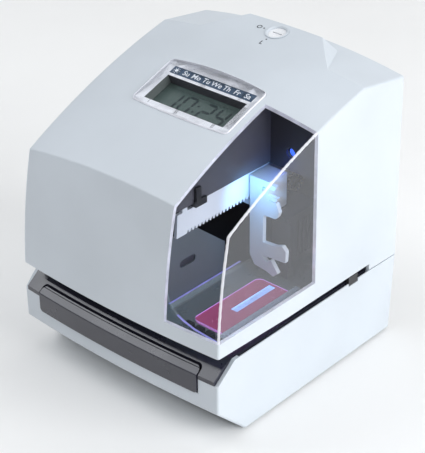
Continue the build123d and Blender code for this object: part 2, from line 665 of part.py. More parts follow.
def toothed_rack():
    """Fixed rack with its teeth down; one gap is centred on the pinion."""
    pitch = math.pi * TOOTH_MODULE
    pitch_z = RACK_TOOTH_TIP_Z + RACK_ADDENDUM
    root_z = pitch_z + 1.25 * TOOTH_MODULE
    slope = math.tan(math.radians(20))
    half_at_pitch = pitch / 4
    half_tip = half_at_pitch - (pitch_z - RACK_TOOTH_TIP_Z) * slope
    half_root = half_at_pitch + (root_z - pitch_z) * slope
    first = math.ceil((RACK_Y[0] + 8 - PINION_Y) / pitch)
    last = math.floor((RACK_Y[1] - 12 - PINION_Y) / pitch)
    plain_end = PINION_Y + (first - 0.5) * pitch + half_tip
    points = [(RACK_NOSE_Y, RACK_TOP_Z), (RACK_NOSE_Y, RACK_NOSE_TOP_Z), (13.6, RACK_NOSE_TOP_Z),
              (13.2, 131.4), (9.8, 131.4), (9.4, RACK_NOSE_TOP_Z), (RACK_Y[0] + 1, RACK_NOSE_TOP_Z),
              (RACK_Y[0], RACK_TOOTH_TIP_Z), (plain_end, RACK_TOOTH_TIP_Z),
              (plain_end + half_root - half_tip, root_z)]
    for number in range(first, last):
        middle = PINION_Y + (number + 0.5) * pitch
        points += [(middle - half_root, root_z), (middle - half_tip, RACK_TOOTH_TIP_Z),
                   (middle + half_tip, RACK_TOOTH_TIP_Z), (middle + half_root, root_z)]
    points += [(RACK_Y[1], root_z), (RACK_Y[1], RACK_TOP_Z)]
    return side_profile(points, (RACK_X - RACK_THICK / 2, RACK_X + RACK_THICK / 2))


def card_guide():
    """Clear plate over the throat under the window, with an upright edge and a turned-up front."""
    plate = block((24.2, 74.2), (-5.5, 126), (GUIDE_Z, GUIDE_TOP_Z)) - mask_blank(50, 80)
    edge = block((26.6, 28.0), (5, 66), (GUIDE_TOP_Z, 68.0))
    lip = front_profile([(33, GUIDE_TOP_Z), (33, 87), (34.7, 84.3), (36.4, 79), (38.9, 75), (42.4, 72),
                         (47.1, 70), (55, 68), (74.2, 66.5), (74.2, GUIDE_TOP_Z)], (-4.8, -3.4))
    return plate + edge + lip


def mask_blank(low_z, high_z):
    """The outline of the print mask, with its two left corners rounded."""
    blank = block((41.5, 64.6), (9, 66), (low_z, high_z))
    corners = [edge for edge in blank.edges().filter_by(Axis.Z) if edge.center().X < 50]
    return fillet(corners, 4.0)


def print_mask():
    """Tinted plate with the slot that the head prints through."""
    low, high = PRINT_SLOT_Y
    slot = block((PRINT_SLOT_X - 2.3, PRINT_SLOT_X + 2.3), (low, high), (50, 80))
    return mask_blank(GUIDE_Z, GUIDE_TOP_Z - 0.4) - slot


def light_guide():
    return block((66.0, 69.5), (5, 70), (GUIDE_TOP_Z, GUIDE_TOP_Z + 2.2))


# ---------------------------------------------------------------- ribbon
def ribbon_cassette():
    def outline(inset):
        floor_z = GUIDE_Z + SHEET + inset
        return [(4 + inset, floor_z), (4 + inset, 108 - inset), (28 - 0.4 * inset, 108 - inset),
                (54 - inset, 86.5 - 0.8 * inset), (54 - inset, floor_z)]

    low, high = CASSETTE_X
    case = side_profile(outline(0), (low, high)) - side_profile(outline(1.6), (low + 1.6, high - 1.6))
    wall = Plane(origin=(high - 0.7, 22.7, 87.6), x_dir=(0, 1, 0), z_dir=(1, 0, 0))
    handle = extrude(wall * SlotOverall(13, 5), 2)
    return case - handle - round_bar((KNOB_X, KNOB_Y, 100), 2.6, 20, (0, 0, 1))


def ink_ribbon():
    return block((-34, 22), (8, 50), (GUIDE_Z + SHEET + 1.6, 78))


def ribbon_knob():
    knob = extrude(Plane(origin=(KNOB_X, KNOB_Y, 108.4)) * RegularPolygon(7.0, 12), 5.0)
    finger = block((KNOB_X - 5.5, KNOB_X + 5.5), (KNOB_Y - 0.9, KNOB_Y + 0.9), (113.4, 115.6))
    spindle = round_bar((KNOB_X, KNOB_Y, 97), 2.5, 12, (0, 0, 1))
    return knob + finger + spindle


# ---------------------------------------------------------------- carriage
def carriage_slider():
    body = block((-8, 31), CARRIAGE_Y, (112, 127.2))
    cheek = block((30, 31.6), (CARRIAGE_Y[1] - 2, 117), (98, 125))
    body = body + cheek
    for x in ROD_X:
        body = body - round_bar((x, 50, ROD_Z), ROD_R + 0.05, 80, (0, 1, 0))
    return body - round_bar((20, PINION_Y, PINION_Z), 2.2, 20, (1, 0, 0))


def carriage_bracket():
    """White moulding whose fingers hold the ribbon beside the print head."""
    front = CARRIAGE_Y[0] - 2
    y_range = (front, front + 2.8)
    head = block((36.2, 50), (front, front + 16), (112.0, 129.4))
    link = block((27, 50), (front + 2, front + 16), (108.6, 112.0))
    post = front_profile([(36.2, 112.0), (36.2, 78), (39.8, 72), (45.8, 74), (46.2, 106.2), (50, 112.0)],
                         y_range)
    jaw = front_profile([(45, 107), (55.2, 107.7), (56.8, 109.6), (57.7, 112.5), (55.3, 117.7),
                         (50, 117.9), (45, 117.9)], y_range)
    upper_foot = front_profile([(45, 80.4), (62.7, 81.7), (63.1, 89.0), (60.2, 91.8), (54.9, 89.7),
                                (45, 89.0)], y_range)
    lower_foot = front_profile([(39.8, 72), (48.7, 70.9), (53.8, 69.2), (57.3, 72.2), (52.1, 79.4),
                                (48.6, 76.8), (45, 80.4), (42, 80.4)], y_range)
    middle_finger = front_profile([(49, 118.6), (54.9, 118.3), (56.3, 120.8), (49, 121.2)], y_range)
    upper_finger = front_profile([(49, 125.2), (54.4, 125.4), (55.4, 127.8), (49, 128.4)], y_range)
    bracket = head + link + post + jaw + upper_foot + lower_foot + middle_finger + upper_finger
    return bracket - round_bar((46.6, front - 1, 123.8), 1.7, 5.0, (0, 1, 0))


def print_head():
    low, high = 74.0, 104.2
    body = block((45, 59), (73.0, 97), (low, high))
    for step in range(5):
        y = 79.0 + 3.6 * step
        for x_range in ((40, 48), (56, 64)):
            body = body - block(x_range, (y, y + 1.8), (low + 4, high - 3))
    nose = block((PRINT_SLOT_X - 3, PRINT_SLOT_X + 3), (74.0, 80.0), (63.6, low))
    shelf = block((40, 60), (69, 97), (high, high + 3.2))
    riser = block((40, 50), (69, 80), (high, 108.6))
    return body + nose + shelf + riser


def carriage_motor():
    can = round_bar((10, PINION_Y, PINION_Z), 7.6, 20.0, (1, 0, 0))
    return can + round_bar((8, PINION_Y, PINION_Z), 3.0, 2.0, (1, 0, 0))


def pinion():
    """Spur gear on the motor's shaft, in mesh with the rack, one tooth pointing up."""
    outer = PITCH_RADIUS + TOOTH_MODULE
    root = PITCH_RADIUS - 1.25 * TOOTH_MODULE
    base = PITCH_RADIUS * math.cos(math.radians(20))
    play = 0.09

    def involute(radius):
        pressure = math.acos(min(1.0, base / radius))
        return math.tan(pressure) - pressure

    def half_angle(radius):
        at_pitch = math.pi / (2 * PINION_TEETH) - play / (2 * PITCH_RADIUS)
        return at_pitch + involute(PITCH_RADIUS) - involute(max(radius, base))

    radii = [root, base, (base + PITCH_RADIUS) / 2, PITCH_RADIUS, (PITCH_RADIUS + outer) / 2, outer]
    outline = []
    for tooth in range(PINION_TEETH):
        middle = math.pi / 2 + tooth * 2 * math.pi / PINION_TEETH
        flanks = [(r, middle - half_angle(r)) for r in radii]
        flanks += [(r, middle + half_angle(r)) for r in reversed(radii)]
        outline += [(PINION_Y + r * math.cos(a), PINION_Z + r * math.sin(a)) for r, a in flanks]
    wheel = side_profile(outline, (RACK_X - 1.3, RACK_X + 1.3))
    return wheel + round_bar((30.3, PINION_Y, PINION_Z), 1.5, 3.0, (1, 0, 0))


# ---------------------------------------------------------------- electronics
def led_lamp():
    lens = round_bar((LED_X, 82.4, LED_Z), 2.5, 5.6, (0, 1, 0))
    return lens + round_bar((LED_X, 88.0, LED_Z), 2.9, 1.0, (0, 1, 0))


def led_bracket():
    shelf = block((48, 57), (89.0, REAR_FRAME_Y), (LED_Z - 4.6, LED_Z - 3.4))
    ear = block((48, 57), (89.0, 90.2), (LED_Z - 4.6, LED_Z + 3.5))
    return shelf + ear


def lcd_panel():
    return display_slab((LCD_SIZE[0] + 4, LCD_SIZE[1] + 5), LCD_V, (LCD_W - LCD_THICK, LCD_W))


def lcd_board():
    top = LCD_W - LCD_THICK
    return display_slab((66, 36), 0, (top - BOARD_THICK, top))


def board_carrier():
    tray = display_slab((98.6, 40), 0, (CARRIER_W - 1.4, CARRIER_W), x_centre=-15.0)
    leg = block((-64.4, -62.8), (50, 82), (118, 170))
    return tray + (leg & display_slab((400, 400), 0, (-90, CARRIER_W - 0.4)))


def board_spacers():
    spacers = []
    plane = display_plane(CARRIER_W)
    length = LCD_W - LCD_THICK - BOARD_THICK - CARRIER_W
    for x in (-29, 29):
        for v in (-15, 15):
            spacers.append(extrude(plane * Pos(x, v) * Circle(2.5), length, dir=plane.z_dir))
    return Compound(spacers)


def main_board():
    return block((-62.6, -61.0), (16, 122), (68, 112))


def board_chips():
    """Packages on the main board: a processor, a driver, memory and capacitors."""
    face = -61.0
    chips = [block((face, face + 1.6), (60, 74), (80, 94)),
             block((face, face + 1.2), (84, 94), (82, 90)),
             block((face, face + 1.2), (38, 50), (74, 80)),
             block((face, face + 5.0), (22, 30), (90, 108)),
             block((face, face + 6.0), (100, 118), (98, 106))]
    chips += [round_bar((face, y, 102), 3.0, 8.0, (1, 0, 0)) for y in (44, 54, 64)]
    return Compound(chips)


def board_studs():
    studs = []
    for y in (20, 118):
        for z in (71, 109):
            studs.append(round_bar((-64.4, y, z), 2.2, 1.8, (1, 0, 0)))
    return Compound(studs)


def power_supply():
    board = block((-54, 6), (78, 128), (8.0, 9.6))
    core = block((-48, -18), (86, 118), (9.6, 36.0))
    coil = block((-43, -23), (82, 122), (14.0, 31.0))
    return board + core + coil + block((-12, 0), (90, 106), (9.6, 22))


def supply_studs():
    places = [(-51, 81), (3, 81), (-51, 125), (3, 125)]
    studs = [round_bar((x, y, PLATE_TOP_Z), 2.4, 8.0 - PLATE_TOP_Z, (0, 0, 1)) for x, y in places]
    return Compound(studs)


def backup_battery():
    cells = [round_bar((31 + 14.4 * n, 82, 11.3), 7.0, 44, (0, 1, 0)) for n in (-1, 0, 1)]
    return Compound(cells)


def battery_tray():
    tray = block((7.6, 54.4), (78, 130), (PLATE_TOP_Z, 9.0))
    hollow = block((9.2, 52.8), (80, 128), (PLATE_TOP_Z + 1.6, 20))
    return tray - hollow


def power_inlet():
    """Two-pin mains inlet for a separate lead."""
    flange = block((INLET_X - 12, INLET_X + 12), (INLET_REAR_Y, INLET_REAR_Y + 1.4),
                   (INLET_Z - 9, INLET_Z + 9))
    body = block((INLET_X - 10, INLET_X + 10), (130, INLET_REAR_Y), (INLET_Z - 7, INLET_Z + 7))
    mouth = Plane(origin=(INLET_X, INLET_REAR_Y + 2, INLET_Z), x_dir=(1, 0, 0), z_dir=(0, -1, 0))
    socket = extrude(mouth * SlotOverall(17.0, 8.6), 15.0)
    inlet = flange + body - socket
    for x in (INLET_X - 5.0, INLET_X + 5.0):
        inlet = inlet + round_bar((x, INLET_REAR_Y - 13.5, INLET_Z), 1.1, 10.0, (0, 1, 0))
    return inlet


def card_sensors():
    lower = block((-58.5, -49.5), (39, 51), (45.6, DECK_UNDER))
    upper = block((-58.5, -49.5), (39, 51), (GUIDE_Z + SHEET, 69.0))
    front = [block((x, x + 5), (-1.6, 3.0), (GUIDE_TOP_Z, GUIDE_TOP_Z + 3.2)) for x in (44, 51.5, 59)]
    return Compound([lower, upper] + front)


def buzzer():
    can = round_bar((30, 42, PLATE_TOP_Z), 9.0, 8.0, (0, 0, 1))
    return can - round_bar((30, 42, PLATE_TOP_Z + 6), 1.5, 8.0, (0, 0, 1))


def frame_screws():
    """Screws that hold the side plate and the rear frame on the deck."""
    z = CLOSED_DECK_Z + SHEET
    places = [(-70, 20), (-70, 70), (-70, 120), (-50, 139), (-10, 139), (30, 139), (60, 139)]
    screws = []
    for x, y in places:
        head = round_bar((x, y, z), 2.8, 1.8, (0, 0, 1))
        screws.append(head - block((x - 1.8, x + 1.8), (y - 0.35, y + 0.35), (z + 1.0, z + 4)))
    return Compound(screws)


PARTS = {
    "base_housing": base_housing,
    "bottom_plate": bottom_plate,
    "bottom_screws": bottom_screws,
    "rubber_feet": rubber_feet,
    "deck_plate": deck_plate,
    "platen": platen,
    "platen_bracket": platen_bracket,
    "bar_guides": bar_guides,
    "bar_spring_left": lambda: bar_spring(-BAR_ROD_X),
    "bar_spring_right": lambda: bar_spring(BAR_ROD_X),
    "bar_switch": bar_switch,
    "switch_bracket": switch_bracket,
    "press_bar": press_bar,
    "switch_plunger": switch_plunger,
    "bridge_plate": bridge_plate,
    "left_side_plate": left_side_plate,
    "rear_frame": rear_frame,
    "frame_screws": frame_screws,
    "rod_bar": rod_bar,
    "guide_rod_left": lambda: guide_rod(ROD_X[0]),
    "guide_rod_right": lambda: guide_rod(ROD_X[1]),
    "toothed_rack": toothed_rack,
    "card_guide": card_guide,
    "print_mask": print_mask,
    "light_guide": light_guide,
    "ribbon_cassette": ribbon_cassette,
    "ink_ribbon": ink_ribbon,
    "ribbon_knob": ribbon_knob,
    "carriage_slider": carriage_slider,
    "carriage_bracket": carriage_bracket,
    "print_head": print_head,
    "carriage_motor": carriage_motor,
    "pinion": pinion,
    "led_lamp": led_lamp,
    "led_bracket": led_bracket,
    "lcd_panel": lcd_panel,
    "lcd_board": lcd_board,
    "board_carrier": board_carrier,
    "board_spacers": board_spacers,
    "main_board": main_board,
    "board_chips": board_chips,
    "board_studs": board_studs,
    "power_supply": power_supply,
    "supply_studs": supply_studs,
    "power_inlet": power_inlet,
    "backup_battery": backup_battery,
    "battery_tray": battery_tray,
    "card_sensors": card_sensors,
    "buzzer": buzzer,
    "lock_catch": lock_catch,
    "upper_cover": upper_cover,
    "window_pane": window_pane,
    "chamber_liner": chamber_liner,
    "lcd_bezel": lcd_bezel,
    "lcd_lens": lcd_lens,
    "weekday_strip": weekday_strip,
    "lock_collar": lock_collar,
    "lock_nut": lock_nut,
    "lock_cylinder": lock_cylinder,
    "lock_cam": lock_cam,
}

if __name__ == "__main__":
    os.makedirs("parts", exist_ok=True)
    for name, make in PARTS.items():
        shape = Pos(0, -CENTRE_Y, 0) * make()
        export_step(shape, f"parts/{name}.step")
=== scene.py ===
import json
import math

import bmesh
import bpy
from mathutils import Matrix, Vector
from mathutils.bvhtree import BVHTree


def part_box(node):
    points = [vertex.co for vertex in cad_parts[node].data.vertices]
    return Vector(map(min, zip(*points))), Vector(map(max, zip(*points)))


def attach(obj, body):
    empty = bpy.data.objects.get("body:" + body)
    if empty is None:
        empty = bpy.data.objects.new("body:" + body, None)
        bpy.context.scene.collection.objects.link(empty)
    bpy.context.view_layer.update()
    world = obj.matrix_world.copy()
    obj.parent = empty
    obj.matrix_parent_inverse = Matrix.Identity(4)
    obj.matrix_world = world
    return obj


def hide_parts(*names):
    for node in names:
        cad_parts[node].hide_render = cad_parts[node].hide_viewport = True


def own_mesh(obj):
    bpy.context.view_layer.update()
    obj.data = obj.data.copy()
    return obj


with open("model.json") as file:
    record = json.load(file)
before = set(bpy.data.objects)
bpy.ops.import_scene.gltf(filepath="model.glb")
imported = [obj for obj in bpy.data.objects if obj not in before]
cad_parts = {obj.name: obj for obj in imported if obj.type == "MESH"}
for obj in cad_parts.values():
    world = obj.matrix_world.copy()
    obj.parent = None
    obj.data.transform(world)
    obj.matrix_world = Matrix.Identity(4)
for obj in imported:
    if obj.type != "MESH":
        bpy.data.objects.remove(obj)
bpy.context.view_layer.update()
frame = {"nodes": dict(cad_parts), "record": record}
record = frame["record"]
nodes = frame["nodes"]
MM = 0.001
X_AXIS, Y_AXIS, Z_AXIS = Vector((1, 0, 0)), Vector((0, 1, 0)), Vector((0, 0, 1))


def vectors(corners):
    """The two corners of a box as vectors."""
    return [Vector(corner) for corner in corners]


# ---------------------------------------------------------------- camera
CAMERA_PLACE = Vector((0.5226, -0.5744, 0.5326))
CAMERA_TARGET = Vector((0.00571, -0.00306, 0.08324))
CAMERA_ROLL = math.radians(-0.55)
LENS_MM, SENSOR_MM = 120.25, 36


def aim_camera(place, target, roll):
    """Put the camera at a place, looking at a target and turned about its line of sight."""
    forward = (target - place).normalized()
    level = forward.cross(Z_AXIS).normalized()
    upright = level.cross(forward)
    right = level * math.cos(roll) + upright * math.sin(roll)
    up = upright * math.cos(roll) - level * math.sin(roll)
    data = bpy.data.cameras.new("camera")
    data.lens = LENS_MM
    data.sensor_width = SENSOR_MM
    data.clip_start, data.clip_end = 0.05, 20
    camera = bpy.data.objects.new("camera", data)
    turn = Matrix((right, up, -forward)).transposed()
    camera.matrix_world = Matrix.Translation(place) @ turn.to_4x4()
    bpy.context.scene.collection.objects.link(camera)
    bpy.context.scene.camera = camera


aim_camera(CAMERA_PLACE, CAMERA_TARGET, CAMERA_ROLL)


# ---------------------------------------------------------------- material helpers
# How fine each pattern is, as a noise scale in object space.
SWIRLS, WAVES, STAINS, SMUDGES, RUBS, MOTTLES = 14, 22, 28, 45, 55, 80
STREAKS, FROST, SPECKS, GRAIN = 120, 600, 1900, 2600
ACRYLIC_IOR = 1.49


class Graph:
    """A material's node tree with short ways to add nodes."""

    def __init__(self, name):
        self.material = bpy.data.materials.new(name)
        self.material.use_nodes = True
        self.tree = self.material.node_tree
        self.tree.nodes.clear()
        self.output = self.tree.nodes.new("ShaderNodeOutputMaterial")
        self.place = self.add("ShaderNodeTexCoord").outputs["Object"]

    def add(self, kind, **settings):
        node = self.tree.nodes.new(kind)
        for key, value in settings.items():
            setattr(node, key, value)
        return node

    def put(self, value, socket):
        """Link a socket's value, or set a plain one."""
        if isinstance(value, bpy.types.NodeSocket):
            self.tree.links.new(value, socket)
        elif isinstance(value, tuple) and len(value) == 3 and socket.type == "RGBA":
            socket.default_value = (*value, 1)
        else:
            socket.default_value = value

    def set(self, node, **values):
        for key, value in values.items():
            self.put(value, node.inputs[key.replace("_", " ")])
        return node

    def noise(self, scale, detail=3.0, roughness=0.5, stretch=None):
        vector = self.place
        if stretch:
            mapping = self.add("ShaderNodeMapping")
            self.set(mapping, Vector=vector, Scale=stretch)
            vector = mapping.outputs["Vector"]
        node = self.add("ShaderNodeTexNoise")
        self.set(node, Vector=vector, Scale=scale, Detail=detail, Roughness=roughness)
        return node.outputs["Fac"]

    def spread(self, fac, low, high, fac_low=0.3, fac_high=0.7):
        """Stretch a pattern so that it runs from low to high."""
        node = self.add("ShaderNodeMapRange")
        self.set(node, Value=fac, From_Min=fac_low, From_Max=fac_high, To_Min=low, To_Max=high)
        return node.outputs["Result"]

    def tones(self, fac, *stops):
        """Colour a pattern with a ramp of (position, colour) stops."""
        node = self.add("ShaderNodeValToRGB")
        ramp = node.color_ramp
        while len(ramp.elements) < len(stops):
            ramp.elements.new(0.5)
        for element, (position, colour) in zip(ramp.elements, stops):
            element.position = position
            element.color = (*colour, 1)
        self.tree.links.new(fac, node.inputs["Fac"])
        return node.outputs["Color"]

    def mix(self, fac, a, b, mode="MIX"):
        node = self.add("ShaderNodeMix", data_type="RGBA", blend_type=mode)
        fac_socket, a_socket, b_socket = node.inputs[0], node.inputs[6], node.inputs[7]
        self.put(fac, fac_socket)
        self.put(a, a_socket)
        self.put(b, b_socket)
        return node.outputs[2]

    def bump(self, height, strength, distance, normal=None):
        node = self.add("ShaderNodeBump")
        self.set(node, Height=height, Strength=strength, Distance=distance)
        if normal is not None:
            self.set(node, Normal=normal)
        return node.outputs["Normal"]

    def principled(self, **values):
        return self.set(self.add("ShaderNodeBsdfPrincipled"), **values)

    def finish(self, shader):
        self.tree.links.new(shader.outputs[0], self.output.inputs["Surface"])
        return self.material


def scaled(colour, amount):
    return tuple(min(1.0, c * amount) for c in colour)


def moulded(name, colour, roughness=0.45, grain=0.35, grain_scale=GRAIN, vary=0.05, specular=0.5,
            coat=0.0, coat_ior=1.5, coat_roughness=0.12):
    """Moulded plastic: slight clouding, a fine grain and uneven gloss."""
    g = Graph(name)
    tone = g.tones(g.noise(SWIRLS, 4), (0.3, scaled(colour, 1 - vary)), (0.7, scaled(colour, 1 + vary)))
    tone = g.mix(g.spread(g.noise(SPECKS, 2), 0.0, 0.06, 0.62, 0.75), tone, scaled(colour, 0.55))
    gloss = g.spread(g.noise(RUBS, 5, 0.65), roughness - 0.06, roughness + 0.07)
    normal = g.bump(g.noise(grain_scale, 2, 0.6), grain, 0.04 * MM)
    normal = g.bump(g.noise(WAVES, 1), 0.12, 0.6 * MM, normal)
    shader = g.principled(Base_Color=tone, Roughness=gloss, Normal=normal,
                          Specular_IOR_Level=specular, Coat_Weight=coat, Coat_IOR=coat_ior,
                          Coat_Roughness=coat_roughness)
    return g.finish(shader)


def sheet_metal(name, colour, roughness=0.34, stretch=(1, 1, 1), scale=900, spangle=0.0):
    """Steel sheet or ground rod, with a rolling grain and faint stains."""
    g = Graph(name)
    brushed = g.noise(scale, 3, 0.6, stretch)
    tone = g.tones(g.noise(STAINS, 5, 0.6), (0.3, scaled(colour, 0.86)), (0.7, scaled(colour, 1.08)))
    if spangle:
        cells = g.add("ShaderNodeTexVoronoi")
        g.set(cells, Vector=g.place, Scale=220.0)
        tone = g.mix(spangle, tone, cells.outputs["Color"], "SOFT_LIGHT")
    gloss = g.spread(brushed, roughness - 0.08, roughness + 0.12)
    normal = g.bump(brushed, 0.18, 0.03 * MM)
    return g.finish(g.principled(Base_Color=tone, Metallic=1.0, Roughness=gloss, Normal=normal))


def clear(name, tint, alpha_low=0.05, roughness=0.03, steepness=4.0, body=None):
    """Clear plastic seen straight through, with gloss that grows towards grazing angles."""
    g = Graph(name)
    through = g.add("ShaderNodeBsdfTransparent")
    g.set(through, Color=tint)
    gloss = g.spread(g.noise(SMUDGES, 5, 0.6), roughness, roughness + 0.06, 0.45, 0.75)
    shine = g.principled(Base_Color=body or scaled(tint, 0.9), Roughness=gloss, IOR=ACRYLIC_IOR)
    facing = g.add("ShaderNodeLayerWeight")
    g.set(facing, Blend=0.5)
    steep = g.add("ShaderNodeMath", operation="POWER")
    g.tree.links.new(facing.outputs["Facing"], steep.inputs[0])
    steep.inputs[1].default_value = steepness
    amount = g.spread(steep.outputs[0], alpha_low, 0.85, 0.0, 1.0)
    blend = g.add("ShaderNodeMixShader")
    g.tree.links.new(amount, blend.inputs[0])
    g.tree.links.new(through.outputs[0], blend.inputs[1])
    g.tree.links.new(shine.outputs[0], blend.inputs[2])
    return g.finish(blend)


def painted_glow_edge(name, colour, glow, roughness=0.2):
    """The edge of a clear sheet, painted with a glow that stands in for the lamp's light it gathers."""
    g = Graph(name)
    tone = g.tones(g.noise(STREAKS, 3, 0.6), (0.3, scaled(colour, 0.75)), (0.7, scaled(colour, 1.1)))
    shader = g.principled(Base_Color=tone, Roughness=roughness, Emission_Color=tone,
                          Emission_Strength=glow, Transmission_Weight=0.2)
    return g.finish(shader)


def frosted(name, colour, transmission=0.5, roughness=0.25, emission=0.0):
    """Cloudy translucent plastic that may glow a little; on a lamp's lens the glow is the lamp,
    elsewhere it is a painted glow.
    """
    g = Graph(name)
    tone = g.tones(g.noise(MOTTLES, 3), (0.3, scaled(colour, 0.94)), (0.7, scaled(colour, 1.04)))
    gloss = g.spread(g.noise(FROST, 3), roughness - 0.05, roughness + 0.08)
    shader = g.principled(Base_Color=tone, Roughness=gloss, Transmission_Weight=transmission,
                          IOR=ACRYLIC_IOR, Emission_Color=colour, Emission_Strength=emission)
    return g.finish(shader)


def board(name, colour):
    """Circuit laminate with tracks under the lacquer."""
    g = Graph(name)
    tracks = g.add("ShaderNodeTexBrick", offset=0.37)
    g.set(tracks, Vector=g.place, Scale=160.0, Mortar_Size=0.035, Mortar_Smooth=0.1)
    tone = g.mix(g.spread(tracks.outputs["Fac"], 0.0, 0.6, 0.0, 1.0), colour, scaled(colour, 1.9))
    tone = g.mix(g.spread(g.noise(60, 4), 0.0, 0.3), tone, scaled(colour, 0.6))
    normal = g.bump(tracks.outputs["Fac"], 0.3, 0.05 * MM)
    return g.finish(g.principled(Base_Color=tone, Roughness=0.35, Normal=normal, Coat_Weight=0.3))


def woven(name, colour):
    """Inked ribbon cloth, woven very fine."""
    g = Graph(name)
    weave = g.add("ShaderNodeTexWave", bands_direction="DIAGONAL")
    g.set(weave, Vector=g.place, Scale=900.0, Distortion=0.6)
    tone = g.mix(weave.outputs["Fac"], colour, scaled(colour, 3.0))
    normal = g.bump(weave.outputs["Fac"], 0.4, 0.05 * MM)
    return g.finish(g.principled(Base_Color=tone, Roughness=0.7, Normal=normal, Sheen_Weight=0.3))


# ---------------------------------------------------------------- materials by slot
LIGHT_PLASTIC = (0.60, 0.645, 0.69)
MATERIALS = {
    "cover_plastic": moulded("cover_plastic", LIGHT_PLASTIC, 0.46, 0.45),
    "base_plastic": moulded("base_plastic", scaled(LIGHT_PLASTIC, 0.98), 0.46, 0.45),
    "bezel_plastic": moulded("bezel_plastic", (0.90, 0.91, 0.97), 0.5, 0.06),
    "grey_gloss": moulded("grey_gloss", (0.020, 0.020, 0.034), 0.30, 0.06, coat=0.55, coat_ior=1.5,
                          coat_roughness=0.10),
    "black_steel": moulded("black_steel", (0.012, 0.012, 0.015), 0.35, 0.3),
    "black_plastic": moulded("black_plastic", (0.03, 0.03, 0.033), 0.42, 0.3),
    "red_plastic": moulded("red_plastic", (0.5, 0.04, 0.03), 0.35, 0.1),
    "white_plastic": moulded("white_plastic", (0.80, 0.83, 0.88), 0.38, 0.15),
    "slate_plastic": moulded("slate_plastic", (0.13, 0.15, 0.165), 0.4, 0.4),
    "liner_dark": moulded("liner_dark", (0.085, 0.083, 0.10), 0.42, 0.5),
    "lock_white": moulded("lock_white", (0.83, 0.84, 0.86), 0.25, 0.05),
    "strip_blue": moulded("strip_blue", (0.055, 0.095, 0.16), 0.3, 0.05, coat=0.3),
    "battery_wrap": moulded("battery_wrap", (0.05, 0.22, 0.09), 0.22, 0.05, coat=0.6),
    "chip_black": moulded("chip_black", (0.02, 0.02, 0.022), 0.4, 0.3),
    "lcd_glass": moulded("lcd_glass", (0.105, 0.145, 0.135), 0.2, 0.03),
    "rubber_black": moulded("rubber_black", (0.02, 0.02, 0.02), 0.8, 0.6, 900, specular=0.25),
    "black_metal": moulded("black_metal", (0.022, 0.022, 0.026), 0.36, 0.25),
    "board_green": board("board_green", (0.02, 0.11, 0.05)),
    "board_tan": board("board_tan", (0.28, 0.18, 0.07)),
    "ink_fabric": woven("ink_fabric", (0.012, 0.012, 0.016)),
    "zinc_steel": sheet_metal("zinc_steel", (0.60, 0.62, 0.65), 0.36, (1, 9, 1), 500, 0.35),
    "polished_steel": sheet_metal("polished_steel", (0.70, 0.70, 0.71), 0.2, (1, 14, 1), 700),
    "spring_steel": sheet_metal("spring_steel", (0.42, 0.43, 0.45), 0.28),
    "brass_gear": sheet_metal("brass_gear", (0.66, 0.48, 0.2), 0.28),
    "window_clear": clear("window_clear", (0.955, 0.965, 0.985), 0.05, 0.03, 4.0,
                          body=(0.02, 0.02, 0.025)),
    "lens_clear": clear("lens_clear", (0.975, 0.98, 0.985), 0.02, 0.03, 7.0, body=(0.03, 0.03, 0.03)),
    "clear_plastic": clear("clear_plastic", (0.86, 0.93, 0.95), 0.16, 0.05),
    # The red clear plastic's faint emission is a painted glow for the lamp's light it carries.
    "red_clear": frosted("red_clear", (0.52, 0.12, 0.27), 0.35, 0.2, 0.2),
    "frosted_clear": frosted("frosted_clear", (0.72, 0.82, 1.0), 0.4, 0.3),
    "blue_lens": frosted("blue_lens", (0.06, 0.16, 0.85), 0.2, 0.1, 1.2),
}

for entry in record["subparts"]:
    piece = nodes[entry["node"]]
    piece.data.materials.clear()
    piece.data.materials.append(MATERIALS[entry["material_slot"]])


def finish_faces(node, material, chosen):
    """Give the faces that chosen(centre, normal) picks a finish of their own."""
    data = nodes[node].data
    data.materials.append(material)
    index = len(data.materials) - 1
    for polygon in data.polygons:
        if chosen(polygon.center, polygon.normal):
            polygon.material_index = index


def face_plane(node, direction=(0, 0, 1)):
    """Centre and normal of the largest flat face of a node towards a direction."""
    data = nodes[node].data
    groups = {}
    for polygon in data.polygons:
        if polygon.normal.dot(Vector(direction)) > 0.5:
            key = tuple(round(c, 2) for c in polygon.normal)
            groups.setdefault(key, []).append(polygon)
    faces = max(groups.values(), key=lambda group: sum(polygon.area for polygon in group))
    area = sum(polygon.area for polygon in faces)
    centre = sum((polygon.center * polygon.area for polygon in faces), Vector()) / area
    return centre, faces[0].normal.copy()


# ---------------------------------------------------------------- faces with a finish of their own
SKIN = 0.5 * MM
WELL_HALF_WIDTH, WELL_HALF_HEIGHT = 30.5 * MM, 11.2 * MM
LUG_INNER_X, LUG_Y = 75.15 * MM, (36.9 * MM, 45.6 * MM)

mask_low, mask_high = vectors(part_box("print_mask"))
well_centre, display_normal = face_plane("lcd_panel")


def within(place, low, high):
    """Whether a point lies between two corners, seen from above."""
    return low.x < place.x < high.x and low.y < place.y < high.y


